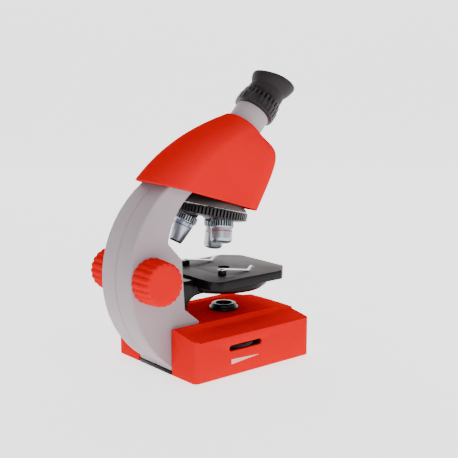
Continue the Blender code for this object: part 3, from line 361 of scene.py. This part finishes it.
# frames of the turret, its objectives and the eyepiece, in millimetres and degrees
optic = {"y": -19.4, "circle": 19.4, "drop": 10.5}
turret = {"y": -4, "z": 140.4, "tilt": 14, "radius": 34.6, "thick": 8.9, "ribs": 66, "depth": 1.3}
eyepiece = {"y": -54.6, "z": 223.9, "tilt": 43}


def tiltedFrame(values):
    place = Matrix.Translation((0, values["y"] * mm, values["z"] * mm))
    return place @ Matrix.Rotation(radians(values["tilt"]), 4, 'X')


turretFrame = tiltedFrame(turret)
eyeFrame = tiltedFrame(eyepiece)
opticFrame = Matrix.Translation((0, optic["y"] * mm, 0))


def objectiveFrame(turn):
    swing = radians(turn)
    reach = optic["circle"] * mm
    spot = Matrix.Translation((-reach * sin(swing), -reach * cos(swing), -optic["drop"] * mm))
    upright = Matrix.Rotation(-swing, 4, 'Z') @ Matrix.Rotation(radians(-turret["tilt"]), 4, 'X')
    return turretFrame @ spot @ upright


def ribs(piece, count, depth, radii, heights, pattern):  # sinks grooves into the outside of a turned piece
    for vertex in piece.data.vertices:
        radius = vertex.co.xy.length / mm
        height = vertex.co.z / mm
        if radii[0] <= radius <= radii[1] and heights[0] <= height <= heights[1]:
            turn = atan2(vertex.co.y, vertex.co.x) / (2 * pi) * count * len(pattern)
            sink = pattern[int(round(turn)) % len(pattern)] * depth
            vertex.co.xy *= (radius - sink) / radius


grooveShadeFaces = {}  # the groove faces of each ribbed piece, which later get a darker finish as painted shade


# radii and heights say which band of the profile the grooves are sunk into
def turnedRibbed(name, profile, count, depth, radii, heights, pattern, place):
    piece = turnedPiece(name, profile, count * len(pattern))
    ribs(piece, count, depth, radii, heights, pattern)
    # the faces down in the grooves are listed for their painted shade
    grooveShadeFaces[name] = [face.index for face in piece.data.polygons
                       if radii[0] - depth - 0.1 < face.center.xy.length / mm < radii[0] - depth * 0.3
                       and heights[0] < face.center.z / mm < heights[1] and abs(face.normal.z) < 0.3]
    settle(piece, place)
    smooth(piece, 32)
    return piece


def paintGrooveShade(piece, material):  # gives the groove faces a second, darker finish: painted shade in the grooves
    piece.data.materials.append(material)
    for index in grooveShadeFaces[piece.name]:
        piece.data.polygons[index].material_index = len(piece.data.materials) - 1


# head cover: a smooth hood, lofted from the sloping rim to the round mouth
hood = {"rimBack": (71.5, 171.0), "rimFront": (-49.9, 132.7), "half": 29, "mouth": 20.2, "depth": 18.7,
        "wall": 2.0, "around": 144, "along": 60}
hoodPull = {"backLow": (-26.87, 26.87), "backHigh": (36.7, -9.84), "frontLow": (-28.3, 47),
            "frontHigh": (-27, -8.6)}


def bezier(points, t):
    a, b, c, d = (Vector(p) for p in points)
    return a * (1 - t) ** 3 + b * 3 * t * (1 - t) ** 2 + c * 3 * t * t * (1 - t) + d * t ** 3


def hoodPoint(turn, t):  # turn goes round the opening, t from the rim to the mouth
    tilt = radians(eyepiece["tilt"])
    depth = hood["depth"]
    centre = Vector((eyepiece["y"] + depth * sin(tilt), eyepiece["z"] - depth * cos(tilt)))
    lean = Vector((cos(tilt), sin(tilt)))
    backEnd, frontEnd = centre + lean * hood["mouth"], centre - lean * hood["mouth"]
    rimBack, rimFront = Vector(hood["rimBack"]), Vector(hood["rimFront"])
    pull = {key: Vector(value) for key, value in hoodPull.items()}
    back = bezier((rimBack, rimBack + pull["backLow"], backEnd + pull["backHigh"], backEnd), t)
    front = bezier((rimFront, rimFront + pull["frontLow"], frontEnd + pull["frontHigh"], frontEnd), t)
    run = (front - back) / 2
    half = hood["mouth"] + (hood["half"] - hood["mouth"]) * (1 - t ** 2.4)
    half = min(half, run.length)
    side = 1 if cos(turn) > 1e-9 else -1 if cos(turn) < -1e-9 else 0
    spot = (back + front) / 2 + run.normalized() * ((run.length - half) * side + half * cos(turn))
    return Vector((half * sin(turn), spot.x, spot.y)) * mm


def makeHood():
    deselect()
    bpy.ops.mesh.primitive_grid_add(x_subdivisions=hood["around"], y_subdivisions=hood["along"], size=2)
    piece = bpy.context.object
    piece.name = "headCover"
    for vertex in piece.data.vertices:
        turn = (vertex.co.x + 1) * pi
        vertex.co = hoodPoint(turn, (vertex.co.y + 1) / 2)
    bpy.ops.object.mode_set(mode='EDIT')
    bpy.ops.mesh.select_all(action='SELECT')
    bpy.ops.mesh.remove_doubles(threshold=0.00002)
    bpy.ops.mesh.normals_make_consistent(inside=False)
    bpy.ops.object.mode_set(mode='OBJECT')
    middle = Vector((0, -0.01, 0.18))
    outward = sum((f.center - middle).dot(f.normal) for f in piece.data.polygons)
    if outward < 0:
        piece.data.flip_normals()
    wall = piece.modifiers.new("wall", 'SOLIDIFY')
    wall.thickness = hood["wall"] * mm
    wall.offset = -1
    wall.use_even_offset = True
    applyAll(piece)
    bevelEdges(piece, 0.5, 2, 60)
    smooth(piece, 40)
    return wear(piece, "base", ["head_cover"], finishes["red_plastic"])


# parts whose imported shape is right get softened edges: name, edge width in millimetres, segments and angle
softened = {
    "base_cover": ("baseCover", 0.9, 3, 33), "base_plate": ("basePlate", 0.4, 2, 40),
    "battery_door": ("batteryDoor", 0.4, 2, 40), "arm_left": ("armLeft", 0.7, 3, 33),
    "arm_right": ("armRight", 0.7, 3, 33), "stage_carrier": ("stageCarrier", 0.5, 3, 40),
    "stage_plate": ("stagePlate", 0.6, 3, 25), "clip_spring_left": ("clipSpringLeft", 0.12, 2, 60),
    "clip_spring_right": ("clipSpringRight", 0.12, 2, 60), "head_floor": ("headFloor", 0.4, 2, 40),
    "filter_disc": ("filterDisc", 0.3, 2, 40), "prism_holder": ("prismHolder", 0.4, 2, 40),
    "battery_tray": ("batteryTray", 0.3, 2, 40), "rack": ("rackTeeth", 0.1, 2, 40),
    "pinion_shaft": ("pinionShaft", 0.1, 2, 40), "circuit_board": ("circuitBoard", 0.15, 2, 40),
    "dimmer_pot": ("dimmerPot", 0.3, 2, 40), "prism": ("prismBlock", 0.15, 2, 40),
    "detent_spring": ("detentSpring", 0.1, 2, 40), "battery_contact_1": ("batteryContact1", 0.1, 2, 40),
    "battery_contact_2": ("batteryContact2", 0.1, 2, 40),
}
bodyOf = {node: body for body, nodes in frame["record"]["behaviour"]["bodies"].items() for node in nodes}
slotOf = {entry["node"]: entry["material_slot"] for entry in frame["record"]["subparts"]}
armSeam = {"gap": 0.3, "close": 0.1, "sharp": 1.5}
# the stage's upward faces get a paler grey than its black sides, a painted sheen for the light its top catches;
# the coarser grain and duller roughness are surface texture
paintedSheenTop = mouldedPlastic("stageTopPaintedSheen", "#565151", "#504B4B", 0.55, 0.6, 0.05, shine=0.12)


def softenParts():
    for node, (name, width, segments, angle) in softened.items():
        piece = copyNode(node, name)
        arm = node.startswith("arm_")
        if arm:  # the two halves close to a hairline
            for vertex in piece.data.vertices:
                if abs(vertex.co.x) < armSeam["gap"] * mm:
                    vertex.co.x *= armSeam["close"]
        bevelEdges(piece, width, segments, angle, armSeam["sharp"] if arm else 0)
        smooth(piece, 32)
        wear(piece, bodyOf[node], [node], finishes[slotOf[node]])
        if node == "stage_plate":
            piece.data.materials.clear()
            piece.data.materials.append(finishes["black_plastic"])
            piece.data.materials.append(paintedSheenTop)
            # the upward faces take the paler grey of the painted sheen, the rest stays black
            for face in piece.data.polygons:
                face.material_index = 1 if face.normal.z > 0.9 else 0


# focus knobs
knob = {"y": 79, "z": 88.3, "inner": 23.0, "length": 21.6, "base": 20.0, "face": 18.7, "flutes": 20, "depth": 1.0}


def makeKnob(name, node, side):
    length, base, face = knob["length"], knob["base"], knob["face"]
    profile = [(0.5, length - 3), (16.2, length - 3.2), (16.4, 0.2), (base - 0.5, 0), (base, 0.5),
               (base - 0.25, length * 0.35), (base - 0.75, length * 0.7), (face + 0.1, length - 2.2),
               (face - 0.35, length - 1.3), (face - 1.2, length - 0.75), (15, length - 0.35), (11, length - 0.1),
               (6, length), (0.5, length)]
    piece = turnedPiece(name, profile, knob["flutes"] * 8)
    for vertex in piece.data.vertices:
        radius = vertex.co.xy.length / mm
        fade = min(max((radius - 15) / 2.5, 0), 1) * (1 if radius > 16.9 else 0)
        swing = atan2(vertex.co.y, vertex.co.x) * knob["flutes"]
        sink = knob["depth"] * fade * (0.5 - 0.5 * cos(swing)) ** 2.2
        vertex.co.xy *= (radius - sink) / radius
    turn = Matrix.Rotation(side * pi / 2, 4, 'Y')
    settle(piece, Matrix.Translation(Vector((side * knob["inner"], knob["y"], knob["z"])) * mm) @ turn)
    smooth(piece, 40)
    return wear(piece, "focus", [node], finishes["red_plastic"])


# ribbed grips: the lands get a slightly paler, shinier black as a painted highlight and the grooves a near black
# as painted shade; the darkened aluminium is painted shade for the objectives' collar grooves
litRibLand = mouldedPlastic("blackAbsLitLand", "#2B2426", "#231D1F", 0.3, shine=0.3)
shadedGrooveBlack = mouldedPlastic("blackAbsGrooveShade", "#050404", "#040303", 0.5, shine=0.05)
shadedGrooveMetal = turnedMetal("satinAluminiumGrooveShade", "#3A4046", "#33383E", 0.45)


# eyepiece
def makeEyepiece():
    tube = turnedPiece("eyepieceTube", [(14.9, -0.5), (15.1, -0.3), (16.3, -0.3), (16.5, -0.5), (16.5, -36),
                                        (14.9, -36), (14.9, -0.5)], 128, eyeFrame)
    smooth(tube)
    wear(tube, "base", ["eyepiece_tube"], finishes["grey_plastic"])
    pattern = (0, 0, 0, 0, 0, 1, 1, 1)
    grip = turnedRibbed("eyepieceGrip", [
        (14.9, 0), (19.0, 0), (19.6, 0.3), (19.8, 0.9), (19.6, 1.6), (19.3, 1.8), (20.0, 2.2), (20.0, 9.6),
        (19.7, 10.0), (18.95, 10.2), (18.95, 15.2), (18.6, 15.7), (17.6, 15.9), (17.3, 16.3), (17.9, 16.6),
        (18.0, 17.2), (17.7, 17.6), (14.9, 17.6), (14.9, 0)], 26, 0.9,
        (18.5, 20.1), (2.1, 15.8), pattern, eyeFrame)
    wear(grip, "eyepiece", ["eyepiece_grip"], litRibLand)
    # the grip's grooves get painted shade, its lands the paler painted highlight
    paintGrooveShade(grip, shadedGrooveBlack)
    barrel = turnedPiece("eyepieceBarrel", [(13.0, 16.4), (13.2, 16.6), (14.4, 16.6), (14.6, 16.4), (14.6, -24.6),
                                            (14.2, -25), (13.0, -25), (13.0, 16.4)], 96, eyeFrame)
    smooth(barrel)
    wear(barrel, "eyepiece", ["eyepiece_barrel"], finishes["black_plastic"])
    low, length = 17.9, 23.5
    high = low + length
    cup = turnedPiece("eyecupRubber", [
        (14.9, low), (17.0, low), (17.25, low + 0.3), (17.2, low + 4), (17.0, low + 8), (16.85, low + 9.6),
        (17.3, low + 10.4), (18.5, low + 12.6), (19.5, low + 15.2), (20.3, low + 18.2), (20.6, low + 20.2),
        (20.5, low + 21.8), (20.0, high - 0.6), (19.3, high - 0.05), (18.7, high - 0.1), (18.2, high - 0.7),
        (17.2, high - 4), (15.9, high - 8.5), (15.0, high - 13), (14.9, low + 6), (14.9, low)], 128)
    for vertex in cup.data.vertices:  # the soft cup leans back and its rim waves a little
        rise = max(vertex.co.z / mm - low, 0) / length
        swing = atan2(vertex.co.x, vertex.co.y)
        vertex.co.z -= rise * (0.25 * vertex.co.y + 1.7 * mm) + rise ** 2 * 0.35 * mm * cos(3 * swing + 0.6)
    settle(cup, eyeFrame)
    smooth(cup, 40)
    wear(cup, "eyepiece", ["eyecup"], finishes["rubber"])
    for name, node, profile in (
            ("eyeLens", "eye_lens", [(0.5, 14.5), (4, 14.35), (8, 13.8), (12.6, 12.7), (12.7, 12.5), (12.7, 11.5),
                                     (12.5, 11.4), (0.5, 11.0)]),
            ("fieldLens", "field_lens", [(0.5, -20), (6, -20.2), (12.6, -20.9), (12.7, -21), (12.7, -22.3),
                                         (12.5, -22.5), (6, -23.6), (0.5, -24)])):
        lens = turnedPiece(name, profile, 64, eyeFrame)
        smooth(lens, 40)
        wear(lens, "eyepiece", [node], finishes["optical_glass"])


# turret: the mount's dome is satin dark grey ABS, the ring under it is ribbed
satinGrey = mouldedPlastic("satinDarkAbs", "#57504F", "#4F4948", 0.5, 0.5, 0.03, shine=0.3)


def makeTurret():
    edge, low = turret["radius"], -turret["thick"]
    dome = turnedPiece("turretDome", [
        (3.3, 13.4), (3.5, 13.6), (15.6, 13.6), (16, 13.3), (18, 10), (21, 8.7), (24, 7.3), (27, 5.9), (29.6, 4.4),
        (31.4, 3.0), (32.6, 1.8), (33.1, 0.9), (33.2, 0.3), (3.3, 0.3), (3.3, 13.4)], 128, turretFrame)
    smooth(dome, 40)
    wear(dome, "base", ["turret_mount"], satinGrey)
    pattern = (0, 0, 0, 1)
    ring = turnedRibbed("turretRing", [
        (3.3, -0.1), (33.2, -0.1), (34.1, -0.3), (edge, -0.9), (edge, low + 2.2), (edge - 0.4, low + 1.5),
        (edge - 1.2, low + 1.2), (31.5, low + 0.7), (29.5, low), (27, low - 0.6), (12, low - 0.9),
        (3.3, low - 0.9), (3.3, -0.1)], turret["ribs"], turret["depth"], (edge - 0.1, edge + 0.1), (low, -0.8), pattern, turretFrame)
    wear(ring, "turret", ["turret_ring"], litRibLand)
    # the ring's grooves get painted shade, its lands the paler painted highlight
    paintGrooveShade(ring, shadedGrooveBlack)
    for number, turn in enumerate((90, -30, -150)):
        seat = turnedPiece(f"objectiveSeat{number + 1}", [(5.5, -0.1), (8.7, -0.1), (9.2, 0.4), (9.6, 5), (5.5, 5),
                                                         (5.5, -0.1)], 64, objectiveFrame(turn))
        smooth(seat)
        wear(seat, "turret", [], finishes["dark_plastic"])
    pin = turnedPiece("turretPivot", [(0.5, 9.5), (3, 9.5), (3, low - 0.9), (5.2, low - 0.9), (5.5, low - 1.2),
                                      (5.5, low - 1.7), (4.6, low - 2.3), (2.6, low - 2.5), (0.5, low - 2.5)], 48,
                      turretFrame)
    smooth(pin)
    wear(pin, "base", ["turret_pivot"], finishes["steel"])


# objectives: each has a ribbed collar, a body with a painted line, a bore and a front lens
objectives = {
    "Low": {"turn": 90, "line": "#A80410", "lineAt": -9.6, "bore": 6.3, "lens": 5.1, "body": [
        (9.5, -7.3), (9.6, -7.6), (9.7, -16.3), (9.5, -17.1), (8.7, -18.6), (8.2, -19.2), (7.7, -19.4)]},
    "Mid": {"turn": -30, "line": "#C08A08", "lineAt": -11.0, "bore": 5.2, "lens": 3.9, "body": [
        (8.2, -7.3), (8.3, -7.6), (8.7, -13.5), (8.8, -24.6), (8.6, -25.4), (7.9, -26.4), (7.4, -26.8)]},
    "High": {"turn": -150, "line": "#0C1A86", "lineAt": -10.2, "bore": 3.4, "lens": 2.3, "body": [
        (9.0, -7.3), (9.1, -7.6), (8.7, -12.4), (6.2, -25.2), (5.9, -25.6), (5.8, -26.6), (5.2, -27.2)]},
}


def enamelLine(name, code):  # baked enamel wiped into a turned line, smooth and a little glossy
    material, shader, place = newMaterial(name, {"IOR": 1.5})
    colour, noise = mottled(material, place, code, code, 3)
    material.node_tree.links.new(colour.outputs["Color"], shader.inputs["Base Color"])
    haze = addNode(material, 'ShaderNodeMapRange', {"To Min": 0.28, "To Max": 0.36}, {"Value": (noise, "Fac")})
    material.node_tree.links.new(haze.outputs["Result"], shader.inputs["Roughness"])
    return material


def radiusAt(profile, height):  # the outside radius of a turned body at some height
    for (r0, z0), (r1, z1) in zip(profile, profile[1:]):
        if z1 <= height <= z0:
            return r0 + (r1 - r0) * (z0 - height) / max(z0 - z1, 1e-6)
    return profile[-1][0]


def makeObjectives():
    for name, parts in objectives.items():
        place = objectiveFrame(parts["turn"])
        body, bore = parts["body"], parts["bore"]
        tip = body[-1][1]
        collar = [(9.9, -0.3), (10.3, -0.5), (10.5, -0.8), (10.5, -5.7), (10.3, -6.0), (10.2, -6.5), (9.8, -6.9)]
        profile = [(4, 4), (5.0, 4.2), (5.2, 4.0), (5.2, -0.3)] + collar + body
        profile += [(bore + 0.3, tip), (bore, tip + 0.3), (bore, tip + 1.6), (parts["lens"], tip + 2.2),
                    (4, tip + 4), (4, 4)]
        shell = turnedRibbed(f"objective{name}", profile, 28, 0.75, (10.4, 10.6), (-5.8, -0.7), (0, 0, 0, 1, 1, 1),
                             place)
        wear(shell, "turret", [f"objective_{name.lower()}"], finishes["objective_metal"])
        # the collar's grooves get a darker aluminium as painted shade
        paintGrooveShade(shell, shadedGrooveMetal)
        top, low = parts["lineAt"], parts["lineAt"] - 0.9
        outer, inner = radiusAt(body, top) + 0.04, radiusAt(body, low) + 0.04
        line = turnedPiece(f"objectiveLine{name}", [(outer, top), (inner, low), (inner - 0.3, low),
                                                    (outer - 0.3, top), (outer, top)], 96, place)
        smooth(line)
        wear(line, "turret", [], enamelLine(f"enamelLine{name}", parts["line"]))
        radius = parts["lens"]
        lens = turnedPiece(f"objectiveLens{name}", [
            (0.4, tip + 2.6), (radius, tip + 2.6), (radius, tip + 1.2), (radius * 0.8, tip + 0.8),
            (radius * 0.4, tip + 0.5), (0.4, tip + 0.45)], 48, place)
        smooth(lens, 40)
        wear(lens, "turret", [f"objective_lens_{name.lower()}"], finishes["optical_glass"])
    tip = turnedPiece("objectiveTip", [(5.95, -25.55), (5.95, -26.5), (5.3, -27.25), (4.6, -27.3), (4.6, -25.55),
                                       (5.95, -25.55)], 64, objectiveFrame(-150))
    smooth(tip)
    wear(tip, "turret", [], finishes["black_plastic"])


# lamp, dimmer and clip posts
dimmer = {"place": (-38.8, 3.75, 0), "ribs": 60, "depth": 0.5}
clip = {"x": 27, "y": 4.6}


def makeLamp():
    ring = turnedPiece("lampRing", [
        (7.6, 47.6), (7.9, 48.0), (10.6, 48.0), (11.3, 47.6), (11.8, 46.6), (12.0, 45.4), (12.6, 44.9),
        (13.3, 44.6), (13.5, 44.2), (13.5, 42.7), (8.8, 42.7), (8.8, 39.2), (6.3, 39.2), (6.3, 44.2), (7.6, 44.4),
        (7.6, 47.6)], 96, opticFrame)
    smooth(ring)
    wear(ring, "base", ["lamp_ring"], finishes["black_plastic"])
    lens = turnedPiece("lampLens", [(0.5, 45.6), (3, 45.5), (6, 45.1), (7.3, 44.9), (7.3, 44.7), (0.5, 44.5)], 64,
                       opticFrame)
    smooth(lens, 40)
    wear(lens, "base", ["lamp_lens"], finishes["lens_cover"])
    led = turnedPiece("lampLed", [(0.3, 44.0), (1.0, 43.85), (1.8, 43.3), (2.3, 42.4), (2.5, 41.5), (2.5, 35.4),
                                  (2.9, 35.4), (2.9, 34.6), (0.3, 34.6)], 48, opticFrame)
    smooth(led, 40)
    wear(led, "base", ["lamp_led"], finishes["led_resin"])
    wheel = turnedRibbed("dimmerWheel", [
        (3.3, 27.6), (18.6, 27.6), (19.6, 27.4), (20.0, 27.0), (20.0, 24.2), (19.6, 23.8), (18.6, 23.6),
        (3.3, 23.6),
        (3.3, 27.6)], dimmer["ribs"], dimmer["depth"], (19.5, 20.1), (23.5, 27.7), (0, 0, 1),
        Matrix.Translation(Vector(dimmer["place"]) * mm))
    wear(wheel, "dimmer", ["dimmer_wheel"], finishes["black_plastic"])


def makeClipPosts():
    for name, side in (("Left", -1), ("Right", 1)):
        place = Matrix.Translation(Vector((side * clip["x"], clip["y"], 0)) * mm)
        post = turnedPiece(f"clipPost{name}", [
            (0.4, 77.9), (1.5, 77.9), (1.5, 82.2), (3.55, 82.2), (3.75, 82.4), (3.75, 86.6), (3.5, 86.85),
            (1.5, 86.9), (1.5, 88.1), (0.4, 88.1)], 64, place)
        smooth(post)
        wear(post, f"clip_{name.lower()}", [f"clip_post_{name.lower()}"],
             finishes["black_plastic"])
        rivet = turnedPiece(f"clipRivet{name}", [
            (0.3, 88.75), (1.2, 88.7), (2.1, 88.45), (2.6, 88.05), (2.6, 87.95), (0.3, 87.95)], 48, place)
        smooth(rivet)
        wear(rivet, f"clip_{name.lower()}", [], finishes["spring_steel"])


# feet, screws and cells
footSpots = ((42, 40), (-42, 40), (42, -57), (-42, -57))
screws = {
    "height": 1.1, "baseSpots": ((51, 50), (-51, 50), (51, -65), (-51, -65)), "baseLong": 18,
    "footX": (-12, 12), "footY": 39, "footLong": 13,
    "armSpots": ((83, 52), (51, 150)), "armLong": 33,
    "armHalf": 24.4, "armTaper": 0.0242, "armFoot": 4, "sunk": 1.5,
}
cell = {"middle": -19, "aside": 8, "height": 11.6}


def makeFeet():
    for number, (x, y) in enumerate(footSpots):
        place = Matrix.Translation((x * mm, y * mm, 0))
        foot = turnedPiece(f"foot{number + 1}", [
            (0.5, 3.0), (2, 3.0), (2, 0.7), (5.8, 0.7), (6.0, 0.55), (5.9, 0.2), (5.5, 0), (0.5, 0)], 48, place)
        smooth(foot)
        wear(foot, "base", [f"foot_{number + 1}"], finishes["foot_rubber"])


def crossRecess(piece, place):  # the driver's cross in a screw head
    deselect()
    bpy.ops.mesh.primitive_cube_add(size=1, location=(0, 0, 0))
    cross = bpy.context.object
    for vertex in cross.data.vertices:
        across = 3.4 if vertex.co.z < 0 else 1.6
        vertex.co = Vector((vertex.co.x * across, vertex.co.y * 0.7, vertex.co.z * 1.2)) * mm
    settle(cross, place)
    for turn in (0, 90):
        cutter = cross.copy()
        cutter.data = cross.data.copy()
        bpy.context.scene.collection.objects.link(cutter)
        settle(cutter, place @ Matrix.Rotation(radians(turn), 4, 'Z') @ place.inverted())
        step = piece.modifiers.new("recess", 'BOOLEAN')
        step.object = cutter
        step.operation = 'DIFFERENCE'
        step.solver = 'EXACT'
        applyAll(piece)
        bpy.data.objects.remove(cutter, do_unlink=True)
    bpy.data.objects.remove(cross, do_unlink=True)


def makeScrews():
    up = screws["height"]
    places = []
    for number, (x, y) in enumerate(screws["baseSpots"]):
        places.append((f"base_screw_{number + 1}", (x, y, up), 0, screws["baseLong"]))
    for number, x in enumerate(screws["footX"]):
        places.append((f"arm_foot_screw_{number + 1}", (x, screws["footY"], up), 0, screws["footLong"]))
    for number, (y, z) in enumerate(screws["armSpots"]):  # they start in the sloping side of the arm
        x = screws["armHalf"] - screws["armTaper"] * (z - screws["armFoot"]) - screws["sunk"]
        places.append((f"arm_screw_{number + 1}", (x, y, z), -90, screws["armLong"]))
    for node, spot, tilt, length in places:
        place = Matrix.Translation(Vector(spot) * mm) @ Matrix.Rotation(radians(tilt), 4, 'Y')
        name = "".join(word.capitalize() for word in node.split("_"))
        piece = turnedPiece(name[0].lower() + name[1:], [
            (0.3, length), (0.9, length), (1.3, length - 1.5), (1.3, 0.9), (2.8, 0.9), (2.8, 0.45), (2.5, 0.12),
            (1.9, 0), (0.3, 0)], 36, place)
        crossRecess(piece, place)
        smooth(piece)
        wear(piece, "base", [node], finishes["steel"])


def makeCells():
    for number, side in enumerate((-1, 1)):
        spot = Vector((0, cell["middle"] + side * cell["aside"], cell["height"])) * mm
        place = Matrix.Translation(spot) @ Matrix.Rotation(side * pi / 2, 4, 'Y')
        sleeve = turnedPiece(f"cell{number + 1}", [
            (0.5, 23.85), (2.5, 23.85), (2.7, 23.6), (2.7, 22.9), (6.6, 22.7), (7.1, 22.3), (7.2, 21.8),
            (7.2, -23.3), (6.8, -23.8), (0.5, -23.85)], 48, place)
        smooth(sleeve)
        wear(sleeve, "base", [f"battery_{number + 1}"], finishes["cell_sleeve"])


# brightness wedge, pad printed beside the dimmer slot
wedge = {"wall": -59, "wide": 20.2, "point": -11.1, "low": 11.3, "high": 15.7, "tip": 14.1, "blunt": 0.12,
         "film": 0.06}


def makeWedge():
    deselect()
    bpy.ops.mesh.primitive_plane_add(size=1, location=(0, 0, 0))
    piece = bpy.context.object
    piece.name = "brightnessWedge"
    wide, point, tip, blunt = wedge["wide"], wedge["point"], wedge["tip"], wedge["blunt"]
    corners = [(wide, wedge["low"]), (point, tip - blunt), (wide, wedge["high"]), (point, tip + blunt)]
    for vertex, (y, z) in zip(piece.data.vertices, corners):
        vertex.co = Vector((wedge["wall"], y, z)) * mm
    film = piece.modifiers.new("film", 'SOLIDIFY')
    film.thickness = wedge["film"] * mm
    film.offset = 0
    applyAll(piece)
    # a thin film of pad printed ink, flat and slightly uneven in cover
    ink = mouldedPlastic("padPrintPink", "#F6B4AE", "#F3ABA4", 0.5, 0.3, 0.01)
    return wear(piece, "base", [], ink)


makeHood()
print("head cover lofted")
softenParts()
print("packed shapes softened")
makeKnob("knobLeft", "knob_left", -1)
makeKnob("knobRight", "knob_right", 1)
print("knobs turned")
makeEyepiece()
makeTurret()
makeObjectives()
print("optics turned")
makeLamp()
makeClipPosts()
makeFeet()
makeScrews()
makeCells()
makeWedge()
print("small parts made")

for node in frame["record"]["subparts"]:
    piece = frame["nodes"][node["node"]]
    material = finishes[node["material_slot"]]
    for holder in piece.material_slots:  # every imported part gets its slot's finish, replaced or not
        holder.material = material
print("the packed parts have their finishes")
